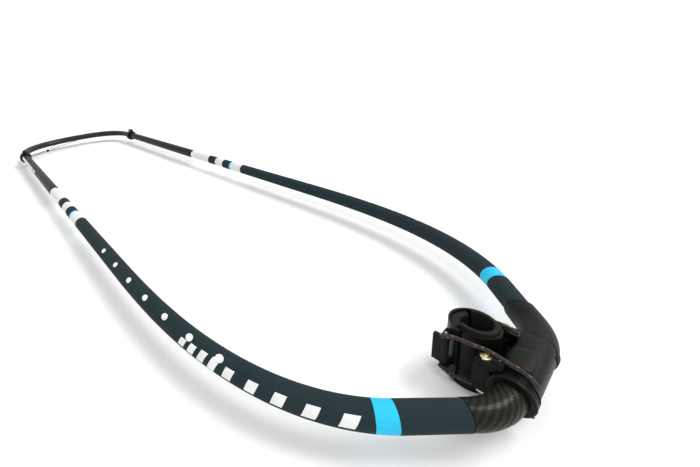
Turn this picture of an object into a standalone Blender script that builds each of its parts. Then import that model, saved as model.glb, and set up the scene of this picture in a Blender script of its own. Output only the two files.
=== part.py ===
"""Windsurfing wishbone boom with a sliding tail, built as separate pieces in metres.

The boom lies flat: +X runs from tail to mast, +Y is starboard, +Z is up, and the surface it lies on
is Z = 0.  Lengths along the boom are first given from the blue band on the grips, then moved so
that the middle of the whole boom is at X = 0.
"""
import math
import bmesh
import bpy
from mathutils import Vector

# Where the middle of the boom and the surface under it are
FRAME_X = 0.94157
FRAME_Z = 0.0450

# Tube outline, measured along the centre line of one side
FRONT_X = 0.062
FRONT_HALF = 0.045
ELBOW_R = 0.080
BEND_TURN = math.radians(38.5)
BOW_START = (0.002, 0.149)
ARM_HALF = 0.271
BOW_END_X = -0.450
BOW_HANDLE_FRONT = 0.140
BOW_HANDLE_REAR = 0.200
ARM_END_X = -1.690

# Tube sizes
ELBOW_OD = 0.029
CORE_OD = 0.0252
REAR_OD = 0.0320
TUBE_WALL = 0.0016
GRIP_OD = 0.0300
GRIP_START_Y = 0.094
GRIP_END_X = -1.045

# Tail
LEG_OD = 0.0274
LEG_WALL = 0.0016
LEG_INSIDE = 0.560
TAIL_REACH = 0.245
ARCH_WIDTH = 0.050
ARCH_HEIGHT = 0.030
SLOT_WIDTH = 0.0106
SLOT_OFFSET = 0.0120
SLOT_HALF_ANGLE = math.radians(37.0)
WINDOW_OFFSET = -0.0085
WINDOW_WIDTH = 0.0110
WINDOW_HALF = 0.0360
SHEAVE_PITCH = 0.0180
SHEAVE_OD = 0.0130
SHEAVE_WIDTH = 0.0090
SHEAVE_PIN_D = 0.0040

# Clamp at each arm end
CLAMP_OD = 0.0500
CLAMP_LEVER_LENGTH = 0.034

# Head
BARREL_OD = 0.0390
BARREL_ID = 0.0310
BARREL_HALF = 0.0400
COLLAR_OD = 0.0420
CUP_X = 0.016
CUP_OD = 0.0490
CUP_ID = 0.0430
CUP_TOP = 0.033
CUP_BOTTOM = -0.045
LINER_OD = 0.0424
LINER_ID = 0.0326
JAW_OD = 0.0560
JAW_ID = 0.0500
BOLT_X = 0.0355
BOLT_Y = 0.0335
BOLT_D = 0.0060
HINGE_R = 0.0330
HINGE_ANGLE = math.radians(97)
ROPE_D = 0.0045
LINE_D = 0.0025


def at(x, y, z=0.0):
    """A point of the boom, moved into the shared frame."""
    return Vector((x + FRAME_X, y, z + FRAME_Z))


def material(name, colour, rough, metal=0.0):
    m = bpy.data.materials.get(name) or bpy.data.materials.new(name)
    m.use_nodes = True
    s = m.node_tree.nodes["Principled BSDF"]
    s.inputs["Base Color"].default_value = (*colour, 1)
    s.inputs["Roughness"].default_value = rough
    s.inputs["Metallic"].default_value = metal
    return m


def mesh_object(name, verts, faces, mat, origin=None, sharp=35):
    """One named object; its origin is put where its joint turns or slides."""
    o0 = Vector(origin) if origin is not None else Vector((0, 0, 0))
    mesh = bpy.data.meshes.new(name)
    mesh.from_pydata([tuple(Vector(v) - o0) for v in verts], [], faces)
    mesh.validate()
    obj = bpy.data.objects.new(name, mesh)
    obj.location = o0
    bpy.context.collection.objects.link(obj)
    mesh.materials.append(mat)
    for poly in mesh.polygons:
        poly.use_smooth = True
    mesh.set_sharp_from_angle(angle=math.radians(sharp))
    return obj


def ring_faces(a, b, n):
    return [(a + i, a + (i + 1) % n, b + (i + 1) % n, b + i) for i in range(n)]


def sweep(name, path, outer, mat, inner=None, sides=16, origin=None):
    """A tube, or a rod when there is no inner size, along a flat path.

    outer and inner give (half width, half height) at each point of the path."""
    n = len(path)
    verts, faces = [], []

    def rings(size):
        first = len(verts)
        for k, p in enumerate(path):
            a, b = path[max(k - 1, 0)], path[min(k + 1, n - 1)]
            t = (b - a).normalized()
            side = Vector((-t.y, t.x, 0)).normalized()
            up = t.cross(side)
            w, h = size(k)
            for i in range(sides):
                q = 2 * math.pi * i / sides
                verts.append(p + side * (w * math.cos(q)) + up * (h * math.sin(q)))
        return first

    o = rings(outer)
    for k in range(n - 1):
        faces += ring_faces(o + k * sides, o + (k + 1) * sides, sides)
    if inner is None:
        faces.append(tuple(reversed(range(o, o + sides))))
        faces.append(tuple(range(o + (n - 1) * sides, o + n * sides)))
    else:
        c = rings(inner)
        for k in range(n - 1):
            faces += [f[::-1] for f in ring_faces(c + k * sides, c + (k + 1) * sides, sides)]
        faces += [f[::-1] for f in ring_faces(o, c, sides)]
        faces += ring_faces(o + (n - 1) * sides, c + (n - 1) * sides, sides)
    return mesh_object(name, verts, faces, mat, origin)


def turned(name, centre, axis, profile, mat, sides=24, origin=None):
    """A closed ring body turned about an axis; profile is (along, radius) points in order."""
    axis = Vector(axis).normalized()
    u = axis.orthogonal().normalized()
    w = axis.cross(u)
    n = len(profile)
    verts, faces = [], []
    for i in range(sides):
        q = 2 * math.pi * i / sides
        out = u * math.cos(q) + w * math.sin(q)
        verts += [Vector(centre) + axis * s + out * r for s, r in profile]
    for i in range(sides):
        a, b = i * n, ((i + 1) % sides) * n
        faces += [(a + k, b + k, b + (k + 1) % n, a + (k + 1) % n) for k in range(n)]
    obj = mesh_object(name, verts, faces, mat, origin)
    outward(obj)
    return obj


def rod(name, start, end, radius, mat, sides=16, origin=None, chamfer=0.0):
    start, end = Vector(start), Vector(end)
    axis = (end - start).normalized()
    u = axis.orthogonal().normalized()
    w = axis.cross(u)
    stations = [(start, radius - chamfer), (start + axis * chamfer, radius),
                (end - axis * chamfer, radius), (end, radius - chamfer)]
    if not chamfer:
        stations = [(start, radius), (end, radius)]
    verts, faces = [], []
    for p, r in stations:
        verts += [p + u * (r * math.cos(2 * math.pi * i / sides)) + w * (r * math.sin(2 * math.pi * i / sides))
                  for i in range(sides)]
    m = len(stations)
    for k in range(m - 1):
        faces += ring_faces(k * sides, (k + 1) * sides, sides)
    faces += [tuple(reversed(range(sides))), tuple(range((m - 1) * sides, m * sides))]
    return mesh_object(name, verts, faces, mat, origin)


def block(name, low, high, mat, origin=None):
    x0, y0, z0 = low
    x1, y1, z1 = high
    v = [Vector((x, y, z)) for z in (z0, z1) for y in (y0, y1) for x in (x0, x1)]
    f = [(0, 2, 3, 1), (4, 5, 7, 6), (0, 1, 5, 4), (2, 6, 7, 3), (0, 4, 6, 2), (1, 3, 7, 5)]
    return mesh_object(name, v, f, mat, origin)


def sector(name, centre, axis, r_in, r_out, a0, a1, s0, s1, mat, steps=16, origin=None):
    """Part of a ring between two angles, s0 to s1 along its axis.

    For the Z axis the angle starts at +X; for the Y axis it starts at +X and rises to +Z."""
    verts, faces = [], []
    for i in range(steps + 1):
        q = a0 + (a1 - a0) * i / steps
        if axis == "Z":
            out, along = Vector((math.cos(q), math.sin(q), 0)), Vector((0, 0, 1))
        else:
            out, along = Vector((math.cos(q), 0, math.sin(q))), Vector((0, 1, 0))
        for r, s in ((r_in, s0), (r_out, s0), (r_out, s1), (r_in, s1)):
            verts.append(Vector(centre) + out * r + along * s)
    for i in range(steps):
        a, b = 4 * i, 4 * i + 4
        faces += [(a + k, b + k, b + (k + 1) % 4, a + (k + 1) % 4) for k in range(4)]
    faces += [(0, 1, 2, 3), tuple(reversed(range(4 * steps, 4 * steps + 4)))]
    obj = mesh_object(name, verts, faces, mat, origin)
    outward(obj)
    return obj


def outward(obj):
    """Turns every face outward."""
    bm = bmesh.new()
    bm.from_mesh(obj.data)
    bmesh.ops.recalc_face_normals(bm, faces=bm.faces)
    bm.to_mesh(obj.data)
    bm.free()


def combine(obj, other, how):
    """Adds another closed body to this one, or cuts it away."""
    mod = obj.modifiers.new(how.lower(), "BOOLEAN")
    mod.operation = how
    mod.solver = "EXACT"
    mod.object = other
    with bpy.context.temp_override(object=obj, active_object=obj, selected_objects=[obj]):
        bpy.ops.object.modifier_apply(modifier=mod.name)
    bpy.data.objects.remove(other)
    for poly in obj.data.polygons:
        poly.use_smooth = True
    obj.data.set_sharp_from_angle(angle=math.radians(35))


def front_path(side, end_y):
    """Centre line from the middle of the front tube out round the elbow to a distance off centre."""
    pts = [at(FRONT_X, 0), at(FRONT_X, side * FRONT_HALF)]
    for i in range(1, 6):
        q = BEND_TURN * i / 5
        pts.append(at(FRONT_X - ELBOW_R * (1 - math.cos(q)), side * (FRONT_HALF + ELBOW_R * math.sin(q))))
    last = pts[-1]
    step = Vector((-math.sin(BEND_TURN), side * math.cos(BEND_TURN), 0))
    pts.append(last + step * ((end_y - abs(last.y)) / math.cos(BEND_TURN)))
    return pts


def bow_points(side, count):
    """The bowed part of one arm."""
    a = Vector((BOW_START[0], BOW_START[1], 0))
    d = Vector((ARM_HALF, ARM_HALF, 0))
    d.x = BOW_END_X
    b = a + Vector((-math.sin(BEND_TURN), math.cos(BEND_TURN), 0)) * BOW_HANDLE_FRONT
    c = d + Vector((BOW_HANDLE_REAR, 0, 0))
    out = []
    for i in range(count + 1):
        t = i / count
        p = a * (1 - t) ** 3 + b * 3 * t * (1 - t) ** 2 + c * 3 * t * t * (1 - t) + d * t ** 3
        out.append(at(p.x, side * p.y))
    return out


def arm_path(side, from_y):
    """Centre line of one arm, from its joint with the front tube to its rear end."""
    slope = math.tan(BEND_TURN)
    start = at(BOW_START[0] + (BOW_START[1] - from_y) * slope, side * from_y)
    rear = [at(x, side * ARM_HALF) for x in (GRIP_END_X + 0.012, GRIP_END_X - 0.004, GRIP_END_X - 0.02,
                                             ARM_END_X)]
    return [start] + bow_points(side, 10) + rear


def tail_path(count):
    """Centre line of the tail, from the end of one leg round the arch to the end of the other."""
    straight = [at(ARM_END_X + LEG_INSIDE, -ARM_HALF), at(ARM_END_X - 0.006, -ARM_HALF)]
    arch = []
    for i in range(1, count):
        q = math.pi * i / count
        flat = 0.80
        cy = math.copysign(abs(math.cos(q)) ** flat, math.cos(q))
        arch.append(at(ARM_END_X - 0.006 - TAIL_REACH * math.sin(q) ** flat, -ARM_HALF * cy))
    return straight + arch + [Vector((p.x, -p.y, p.z)) for p in reversed(straight)]


def ribbon(name, path, offset, width, z0, z1, mat):
    """A flat curved bar beside a path, used to cut the slots through the tail."""
    verts, faces = [], []
    n = len(path)
    for k, p in enumerate(path):
        t = (path[min(k + 1, n - 1)] - path[max(k - 1, 0)]).normalized()
        side = Vector((-t.y, t.x, 0))
        for w, z in ((-0.5, z0), (0.5, z0), (0.5, z1), (-0.5, z1)):
            q = p + side * (offset + w * width)
            verts.append(Vector((q.x, q.y, FRAME_Z + z)))
    for i in range(n - 1):
        a, b = 4 * i, 4 * i + 4
        faces += [(a + k, b + k, b + (k + 1) % 4, a + (k + 1) % 4) for k in range(4)]
    faces += [(0, 1, 2, 3), tuple(reversed(range(4 * n - 4, 4 * n)))]
    obj = mesh_object(name, verts, faces, mat)
    outward(obj)
    return obj


def make_frame(carbon, foam):
    joint_y = 0.100
    for side, tag in ((-1, "port"), (1, "starboard")):
        path = arm_path(side, joint_y)
        core, rear = CORE_OD / 2, REAR_OD / 2
        size = lambda k, n=len(path): (rear, rear) if k >= n - 2 else (core, core)
        bore = lambda k, n=len(path): ((rear - TUBE_WALL,) * 2 if k >= n - 2 else (core - TUBE_WALL,) * 2)
        sweep(tag + "_arm_tube", path, size, carbon, bore, 16)
        slope = math.tan(BEND_TURN)
        start = at(BOW_START[0] + (BOW_START[1] - GRIP_START_Y - 0.007) * slope, side * (GRIP_START_Y + 0.007))
        grip = [start] + bow_points(side, 10) + [at(GRIP_END_X + 0.0125, side * ARM_HALF)]
        sweep(tag + "_grip", grip, lambda k: (GRIP_OD / 2,) * 2, foam,
              lambda k: (CORE_OD / 2 + 0.0003,) * 2, 16)
    path = [Vector((p.x, p.y, p.z)) for p in reversed(front_path(-1, joint_y - 0.0004))][:-1]
    path += front_path(1, joint_y - 0.0004)[1:]
    elbow = ELBOW_OD / 2
    sweep("front_tube", path, lambda k: (elbow, elbow), carbon, lambda k: (elbow - 0.0025,) * 2, 16)


def make_clamps(black, lever_mat, steel, rubber):
    """The lever clamp on each arm end that grips the tail leg."""
    r_arm, r_leg, r_out = REAR_OD / 2 + 0.0003, LEG_OD / 2 + 0.0006, CLAMP_OD / 2
    for side, tag in ((-1, "port"), (1, "starboard")):
        c = at(ARM_END_X, side * ARM_HALF)
        turned(tag + "_clamp", c, (1, 0, 0),
               [(0.020, r_arm), (0.020, r_out - 0.0035), (0.0165, r_out - 0.0005), (-0.004, r_out),
                (-0.0125, r_out - 0.001), (-0.016, r_out - 0.004), (-0.016, r_leg + 0.0018),
                (-0.0006, r_leg + 0.0018), (-0.0006, r_arm)], black, 18)
        turned(tag + "_clamp_pad", c, (1, 0, 0),
               [(-0.0154, r_leg), (-0.0154, r_leg + 0.0015), (-0.0010, r_leg + 0.0015), (-0.0010, r_leg)],
               rubber, 18)
        pin = c + Vector((0.011, 0, r_out + 0.0042))
        for y, end in ((-0.0078, "inner"), (0.0078, "outer")):
            lug = block(tag + "_lug_" + end, pin + Vector((-0.0045, y - 0.0018, -0.0062)),
                        pin + Vector((0.0045, y + 0.0018, 0.0040)), black)
            combine(bpy.data.objects[tag + "_clamp"], lug, "UNION")
        hole = rod("hole", pin + Vector((0, -0.012, 0)), pin + Vector((0, 0.012, 0)), 0.0019, steel, 12)
        combine(bpy.data.objects[tag + "_clamp"], hole, "DIFFERENCE")
        rod(tag + "_clamp_pin", pin + Vector((0, -0.0105, 0)), pin + Vector((0, 0.0105, 0)), 0.0015, steel, 12)
        lever = rod(tag + "_clamp_lever", pin + Vector((0, -0.0055, 0)), pin + Vector((0, 0.0055, 0)),
                    0.0038, lever_mat, 16, origin=pin)
        arm = block("arm", pin + Vector((-CLAMP_LEVER_LENGTH + 0.004, -0.0055, -0.0012)),
                    pin + Vector((0.001, 0.0055, 0.0030)), lever_mat)
        combine(lever, arm, "UNION")
        bore = rod("bore", pin + Vector((0, -0.012, 0)), pin + Vector((0, 0.012, 0)), 0.0019, steel, 12)
        combine(lever, bore, "DIFFERENCE")


def make_tail(carbon, black, steel):
    """The sliding tail: two legs, a flattened arch with slots, and the outhaul sheaves in them."""
    count = 28
    path = tail_path(count)
    leg = LEG_OD / 2
    last = len(path) - 1

    def size(k):
        grow = min(1.0, max(0.0, (min(k, last - k) - 2) / 6.0))
        grow = grow * grow * (3 - 2 * grow)
        return (leg + (ARCH_WIDTH / 2 - leg) * grow, leg + (ARCH_HEIGHT / 2 - leg) * grow)

    tail = sweep("tail_tube", path, size, carbon, None, 20, origin=at(ARM_END_X, 0))
    for side in (-1, 1):
        bore = rod("bore", at(ARM_END_X + LEG_INSIDE + 0.01, side * ARM_HALF),
                   at(ARM_END_X - 0.004, side * ARM_HALF), leg - LEG_WALL, carbon, 20)
        combine(tail, bore, "DIFFERENCE")
    half = count // 2 + 1
    mid = path[half]
    slot = [p for p in path[2:-2] if abs(p.y) <= ARM_HALF * math.sin(SLOT_HALF_ANGLE) + 1e-6]
    combine(tail, ribbon("slot", slot, SLOT_OFFSET, SLOT_WIDTH, -0.03, 0.03, carbon), "DIFFERENCE")
    window = block("window", mid + Vector((-WINDOW_OFFSET - WINDOW_WIDTH / 2, -WINDOW_HALF, -0.03)),
                   mid + Vector((-WINDOW_OFFSET + WINDOW_WIDTH / 2, WINDOW_HALF, 0.03)), carbon)
    combine(tail, window, "DIFFERENCE")
    for i, y in enumerate((-SHEAVE_PITCH, 0.0, SHEAVE_PITCH), 1):
        start = mid + Vector((-ARCH_WIDTH / 2 + 0.003, y, 0))
        end = mid + Vector((ARCH_WIDTH / 2 - 0.003, y, 0))
        hole = rod("hole", start - Vector((0.0006, 0, 0)), end + Vector((0.0006, 0, 0)),
                   SHEAVE_PIN_D / 2 + 0.0004, steel, 12)
        combine(tail, hole, "DIFFERENCE")
        rod("sheave_pin_%d" % i, start, end, SHEAVE_PIN_D / 2, steel, 12)
        for offset, row in ((SLOT_OFFSET, "outer"), (WINDOW_OFFSET, "inner")):
            c = mid + Vector((-offset, y, 0))
            w, r, b = SHEAVE_WIDTH / 2, SHEAVE_OD / 2, SHEAVE_PIN_D / 2 + 0.0004
            turned("%s_sheave_%d" % (row, i), c, (1, 0, 0),
                   [(-w, b), (-w, r), (-w * 0.6, r), (0, r - 0.0014), (w * 0.6, r), (w, r), (w, b)],
                   black, 14, origin=c)
    for side, tag in ((-1, "port"), (1, "starboard")):
        p = at(ARM_END_X - 0.024, side * (ARM_HALF + LEG_OD / 2 + 0.0004))
        turned(tag + "_tail_button", p, (0, side, 0),
               [(0, 0.0015), (0.0018, 0.0015), (0.0024, 0.0050), (0.0010, 0.0062), (0, 0.0062)], black, 16)


def make_head(plastic, rubber, cover_mat, brass, steel):
    """Barrel round the front tube, cup for the mast, jaw, lever and lashing."""
    c = at(FRONT_X, 0)
    r_in, r_out = BARREL_ID / 2, BARREL_OD / 2
    pivot = at(FRONT_X, 0)
    gap = 0.02
    for name, a0, z0, z1 in (("upper_shell", gap, 0.0130, 0.0200), ("lower_shell", math.pi + gap, -0.0200, -0.0130)):
        shell = sector(name, c, "Y", r_in, r_out, a0, a0 + math.pi - 2 * gap, -BARREL_HALF, BARREL_HALF,
                       plastic, 16, origin=pivot)
        for side in (-1, 1):
            y0, y1 = sorted((side * 0.0265, side * 0.0400))
            ear = block("ear", at(0.0275, y0, z0), at(0.0515, y1, z1), plastic)
            combine(shell, ear, "UNION")
            hole = rod("hole", at(BOLT_X, side * BOLT_Y, z0 - 0.005), at(BOLT_X, side * BOLT_Y, z1 + 0.005),
                       BOLT_D / 2 + 0.0004, plastic, 16)
            combine(shell, hole, "DIFFERENCE")
    turned("tube_shim", c, (0, 1, 0), [(-0.039, ELBOW_OD / 2 + 0.0003), (-0.039, r_in - 0.0003),
                                       (0.039, r_in - 0.0003), (0.039, ELBOW_OD / 2 + 0.0003)], rubber, 18)
    for side, tag in ((-1, "port"), (1, "starboard")):
        turned(tag + "_collar", at(FRONT_X, side * 0.0404), (0, side, 0),
               [(0, ELBOW_OD / 2 + 0.0006), (0, COLLAR_OD / 2 - 0.001), (0.001, COLLAR_OD / 2),
                (0.0042, COLLAR_OD / 2), (0.0052, COLLAR_OD / 2 - 0.001), (0.0052, ELBOW_OD / 2 + 0.0006)],
               plastic, 20)
    sector("top_cover", c, "Y", r_out + 0.0004, r_out + 0.0042, math.radians(38), math.radians(110),
           -0.030, 0.0395, cover_mat, 10, origin=pivot)

    cup = at(CUP_X, 0)
    shell = sector("mast_cup", cup, "Z", CUP_ID / 2, CUP_OD / 2, math.radians(-112), math.radians(112),
                   CUP_BOTTOM, CUP_TOP, plastic, 28, origin=pivot)
    for side in (-1, 1):
        y0, y1 = sorted((side * 0.0215, side * 0.0400))
        combine(shell, block("ear", at(0.0265, y0, -0.0125), at(0.0418, y1, 0.0125), plastic), "UNION")
        hole = rod("hole", at(BOLT_X, side * BOLT_Y, -0.02), at(BOLT_X, side * BOLT_Y, 0.02),
                   BOLT_D / 2 + 0.0004, plastic, 16)
        combine(shell, hole, "DIFFERENCE")
    hx, hy = CUP_X + HINGE_R * math.cos(HINGE_ANGLE), HINGE_R * math.sin(HINGE_ANGLE)
    for z0, z1 in ((0.0130, 0.0220), (-0.0220, -0.0130)):
        knuckle = rod("knuckle", at(hx, hy, z0), at(hx, hy, z1), 0.0045, plastic, 16)
        combine(shell, knuckle, "UNION")
        combine(shell, block("web", at(hx - 0.0005, 0.0225, z0), at(hx + 0.0085, hy + 0.001, z1), plastic), "UNION")
    combine(shell, rod("hole", at(hx, hy, -0.03), at(hx, hy, 0.03), 0.0019, plastic, 12), "DIFFERENCE")
    sector("cup_liner", cup, "Z", LINER_ID / 2, LINER_OD / 2, math.radians(-124), math.radians(124),
           CUP_BOTTOM + 0.001, CUP_TOP + 0.004, rubber, 28, origin=pivot)

    hinge = at(hx, hy)
    jaw = sector("rear_jaw", cup, "Z", JAW_ID / 2, JAW_OD / 2, math.radians(100), math.radians(252),
                 CUP_BOTTOM + 0.004, CUP_TOP - 0.001, plastic, 22, origin=hinge)
    combine(jaw, rod("knuckle", at(hx, hy, -0.0122), at(hx, hy, 0.0122), 0.0045, plastic, 16), "UNION")
    combine(jaw, block("web", at(hx - 0.0044, 0.0256, -0.0122), at(hx + 0.0004, hy, 0.0122), plastic), "UNION")
    combine(jaw, block("relief", at(hx - 0.002, 0.020, 0.0122), at(hx + 0.012, hy + 0.006, 0.0228), plastic),
            "DIFFERENCE")
    combine(jaw, block("relief", at(hx - 0.002, 0.020, -0.0228), at(hx + 0.012, hy + 0.006, -0.0122), plastic),
            "DIFFERENCE")
    combine(jaw, rod("hole", at(hx, hy, -0.03), at(hx, hy, 0.03), 0.0019, plastic, 12), "DIFFERENCE")
    rod("jaw_pin", at(hx, hy, -0.0235), at(hx, hy, 0.0235), 0.0015, steel, 12)
    sector("jaw_liner", cup, "Z", LINER_ID / 2, JAW_ID / 2 - 0.0003, math.radians(132), math.radians(228),
           CUP_BOTTOM + 0.006, CUP_TOP - 0.003, rubber, 14, origin=hinge)

    lx, ly = CUP_X - 0.0205, -0.0300
    for z0, z1 in ((0.0185, 0.0225), (-0.0225, -0.0185)):
        combine(jaw, block("tab", at(lx - 0.0035, ly - 0.0035, z0), at(lx + 0.0060, ly + 0.0115, z1), plastic), "UNION")
    combine(jaw, rod("hole", at(lx, ly, -0.03), at(lx, ly, 0.03), 0.0019, plastic, 12), "DIFFERENCE")
    rod("lever_pin", at(lx, ly, -0.0240), at(lx, ly, 0.0240), 0.0015, steel, 12)
    lever = rod("lashing_lever", at(lx, ly, -0.0180), at(lx, ly, 0.0180), 0.0046, cover_mat, 16,
                origin=at(lx, ly), chamfer=0.001)
    bar = block("bar", at(lx - 0.0120, ly - 0.0042, -0.0180), at(lx, ly + 0.0016, 0.0180), cover_mat)
    combine(lever, bar, "UNION")
    combine(lever, rod("bore", at(lx, ly, -0.03), at(lx, ly, 0.03), 0.0019, steel, 12), "DIFFERENCE")

    for side, tag in ((-1, "port"), (1, "starboard")):
        x, y = BOLT_X, side * BOLT_Y
        turned(tag + "_bolt", at(x, y, 0.0204), (0, 0, 1),
               [(-0.0440, 0.0001), (-0.0440, BOLT_D / 2), (0, BOLT_D / 2), (0, 0.0053), (0.0026, 0.0053),
                (0.0034, 0.0045), (0.0034, 0.0024), (0.0012, 0.0020), (0.0012, 0.0001)], brass, 14)
        turned(tag + "_nut", at(x, y, -0.0204), (0, 0, -1),
               [(0, BOLT_D / 2 + 0.0010), (0, 0.0055), (0.0042, 0.0055), (0.0042, BOLT_D / 2 + 0.0010)], steel, 6)


def cord(name, points, diameter, mat, count):
    """A round cord through hand-placed points, as a curve with closed ends."""
    pts = [Vector(p) for p in points]
    ext = [pts[0] * 2 - pts[1]] + pts + [pts[-1] * 2 - pts[-2]]
    line = []
    spans = len(pts) - 1
    for i in range(count + 1):
        u = i / count * spans
        k = min(int(u), spans - 1)
        t = u - k
        a, b, c, d = ext[k:k + 4]
        line.append(0.5 * (2 * b + (c - a) * t + (2 * a - 5 * b + 4 * c - d) * t * t
                           + (3 * b - a - 3 * c + d) * t ** 3))
    curve = bpy.data.curves.new(name, "CURVE")
    curve.dimensions = "3D"
    curve.bevel_depth = diameter / 2
    curve.bevel_resolution = 2
    curve.use_fill_caps = True
    spline = curve.splines.new("POLY")
    spline.points.add(len(line) - 1)
    for sp, p in zip(spline.points, line):
        sp.co = (*p, 1)
    curve.materials.append(mat)
    obj = bpy.data.objects.new(name, curve)
    bpy.context.collection.objects.link(obj)


def make_cords(rope, line_mat, black):
    """The lashing held round the head, and the thin line that hangs inside the tail."""
    z = 0.0262
    cord("lashing_upper", [at(-0.0075, -0.0362, 0.0205), at(0.004, -0.0345, 0.0265), at(0.020, -0.0310, z),
                           at(0.036, -0.0290, z + 0.0012), at(0.052, -0.0300, 0.0262),
                           at(0.068, -0.0330, 0.0262), at(0.0790, -0.0335, 0.0190)], ROPE_D, rope, 20)
    cord("lashing_lower", [at(-0.0075, -0.0362, -0.0205), at(0.004, -0.0345, -0.0265), at(0.020, -0.0310, -z),
                           at(0.036, -0.0290, -z - 0.0012), at(0.052, -0.0300, -0.0262),
                           at(0.068, -0.0330, -0.0262), at(0.0790, -0.0335, -0.0190)], ROPE_D, rope, 20)
    cord("lashing_far", [at(0.0225, 0.0290, 0.0240), at(0.032, 0.0275, 0.0262), at(0.042, 0.0255, 0.0270),
                         at(0.050, 0.0240, 0.0262)], ROPE_D, rope, 16)
    inner = ARM_END_X - 0.006 - TAIL_REACH + ARCH_WIDTH / 2 + 0.0045
    knot = at(inner + 0.105, -0.150, -0.012)
    a, b = at(inner + 0.003, -0.072, -0.002), at(inner + 0.0015, 0.052, -0.002)
    cord("tail_line_port", [a, at(inner + 0.022, -0.088, -0.004), at(inner + 0.060, -0.122, -0.009),
                            knot + Vector((-0.012, 0.012, 0.001))], LINE_D, line_mat, 18)
    cord("tail_line_starboard", [b, at(inner + 0.030, 0.020, -0.004), at(inner + 0.052, -0.040, -0.007),
                                 at(inner + 0.080, -0.105, -0.011), knot + Vector((-0.004, 0.020, 0.001))],
         LINE_D, line_mat, 26)
    cord("tail_line_leg", [at(ARM_END_X - 0.050, -ARM_HALF + 0.018, -0.004),
                           at(ARM_END_X - 0.052, -0.215, -0.006), knot + Vector((0.0, -0.016, 0.0))],
         LINE_D, line_mat, 16)
    turned("tail_toggle", knot + Vector((0.009, -0.009, 0)), (-1, 1, 0),
           [(0, 0.0005), (0, 0.0040), (0.006, 0.0062), (0.012, 0.0062), (0.018, 0.0035), (0.018, 0.0005)], black, 16)


def main():
    for obj in list(bpy.data.objects):
        bpy.data.objects.remove(obj)
    carbon = material("carbon", (0.030, 0.032, 0.026), 0.30)
    foam = material("grip_foam", (0.045, 0.085, 0.095), 0.80)
    plastic = material("black_plastic", (0.018, 0.019, 0.017), 0.42)
    cover = material("cover_plastic", (0.026, 0.028, 0.024), 0.50)
    rubber = material("rubber", (0.045, 0.052, 0.048), 0.75)
    brass = material("bolt_metal", (0.80, 0.74, 0.48), 0.30, 1.0)
    steel = material("pin_steel", (0.60, 0.60, 0.58), 0.32, 1.0)
    rope = material("rope", (0.016, 0.016, 0.016), 0.85)
    make_frame(carbon, foam)
    make_clamps(plastic, plastic, steel, rubber)
    make_tail(carbon, plastic, steel)
    make_head(plastic, rubber, cover, brass, steel)
    make_cords(rope, rope, plastic)


main()
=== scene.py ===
"""Detailed model of a windsurfing boom, made over its CAD frame, in metres.

+X runs from tail to mast, +Y is starboard, +Z is up.  Lengths along the boom are given from the
blue band on the grips and moved by FRAME_X, so that the middle of the whole boom is at X = 0.
"""
import math
import bpy
import bmesh
from mathutils import Matrix, Vector


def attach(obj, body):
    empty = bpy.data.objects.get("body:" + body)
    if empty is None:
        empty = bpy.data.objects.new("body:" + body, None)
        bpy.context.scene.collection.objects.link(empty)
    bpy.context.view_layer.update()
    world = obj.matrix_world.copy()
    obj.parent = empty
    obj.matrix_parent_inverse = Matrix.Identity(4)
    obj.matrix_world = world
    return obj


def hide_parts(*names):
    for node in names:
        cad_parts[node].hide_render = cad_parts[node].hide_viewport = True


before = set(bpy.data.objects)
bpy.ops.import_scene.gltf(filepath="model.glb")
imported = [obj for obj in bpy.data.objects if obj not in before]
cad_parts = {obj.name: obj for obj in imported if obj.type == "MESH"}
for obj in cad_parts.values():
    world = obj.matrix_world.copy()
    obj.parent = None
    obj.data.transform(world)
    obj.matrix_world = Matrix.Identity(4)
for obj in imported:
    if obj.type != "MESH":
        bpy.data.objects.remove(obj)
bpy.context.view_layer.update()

# Where the middle of the boom and the surface under it are
FRAME_X = 0.94157
FRAME_Z = 0.0450

# Tube outline, measured along the centre line of one side
FRONT_X = 0.062
FRONT_HALF = 0.045
ELBOW_R = 0.080
BEND_TURN = math.radians(38.5)
BOW_START = (0.002, 0.149)
ARM_HALF = 0.271
BOW_END_X = -0.450
BOW_HANDLE_FRONT = 0.140
BOW_HANDLE_REAR = 0.200
ARM_END_X = -1.690

# Tube sizes
ELBOW_OD = 0.029
REAR_OD = 0.0320
TUBE_WALL = 0.0016
FRONT_WALL = 0.0025
CORE_OD = 0.0252
GRIP_OD = 0.0300
GRIP_START_Y = 0.094
GRIP_END_X = -1.045

# Colours of the grip, from its front end to its rear end: (where each starts, name)
FOAM_BANDS = ((0.040, "foam"), (-0.0022, "cyan"), (-0.0166, "foam"), (-0.7224, "white"), (-0.776, "cyan"),
              (-0.783, "foam"), (-0.822, "white"), (-0.865, "foam"), (-0.909, "white"))

# Printed marks on each grip: dots on its upper side, bars on its outer side
DOT_PLACES = (-0.5226, -0.4562, -0.3929, -0.3314, -0.2732, -0.2171, -0.1652)
DOT_ANGLE = math.radians(30)
DOT_HALF_LENGTH = 0.0060
DOT_HALF_WIDTH = 0.0050
BAR_ANGLE = math.radians(72)
WIDE_BARS = 5
WIDE_BAR_START = -0.034
WIDE_BAR_PITCH = 0.029
TALL_BARS = 4
TALL_BAR_START = -0.172
TALL_BAR_PITCH = 0.018
PRINT_LIFT = 0.00025

# Tail
LEG_OD = 0.0274
LEG_WALL = 0.0016
LEG_INSIDE = 0.560
TAIL_REACH = 0.245
ARCH_WIDTH = 0.050
ARCH_HEIGHT = 0.030
SLOT_WIDTH = 0.0106
SLOT_OFFSET = 0.0120
SLOT_HALF_ANGLE = math.radians(37.0)
WINDOW_OFFSET = -0.0085
WINDOW_WIDTH = 0.0110
WINDOW_HALF = 0.0360

# Head
BARREL_OD = 0.0390
COLLAR_OD = 0.0420

HOOD_ID = 0.0306

# Ropes, and the size of one cell of the carbon's weave
WEAVE_CELL = 0.0022
ROPE_D = 0.0045
LINE_D = 0.0025

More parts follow.
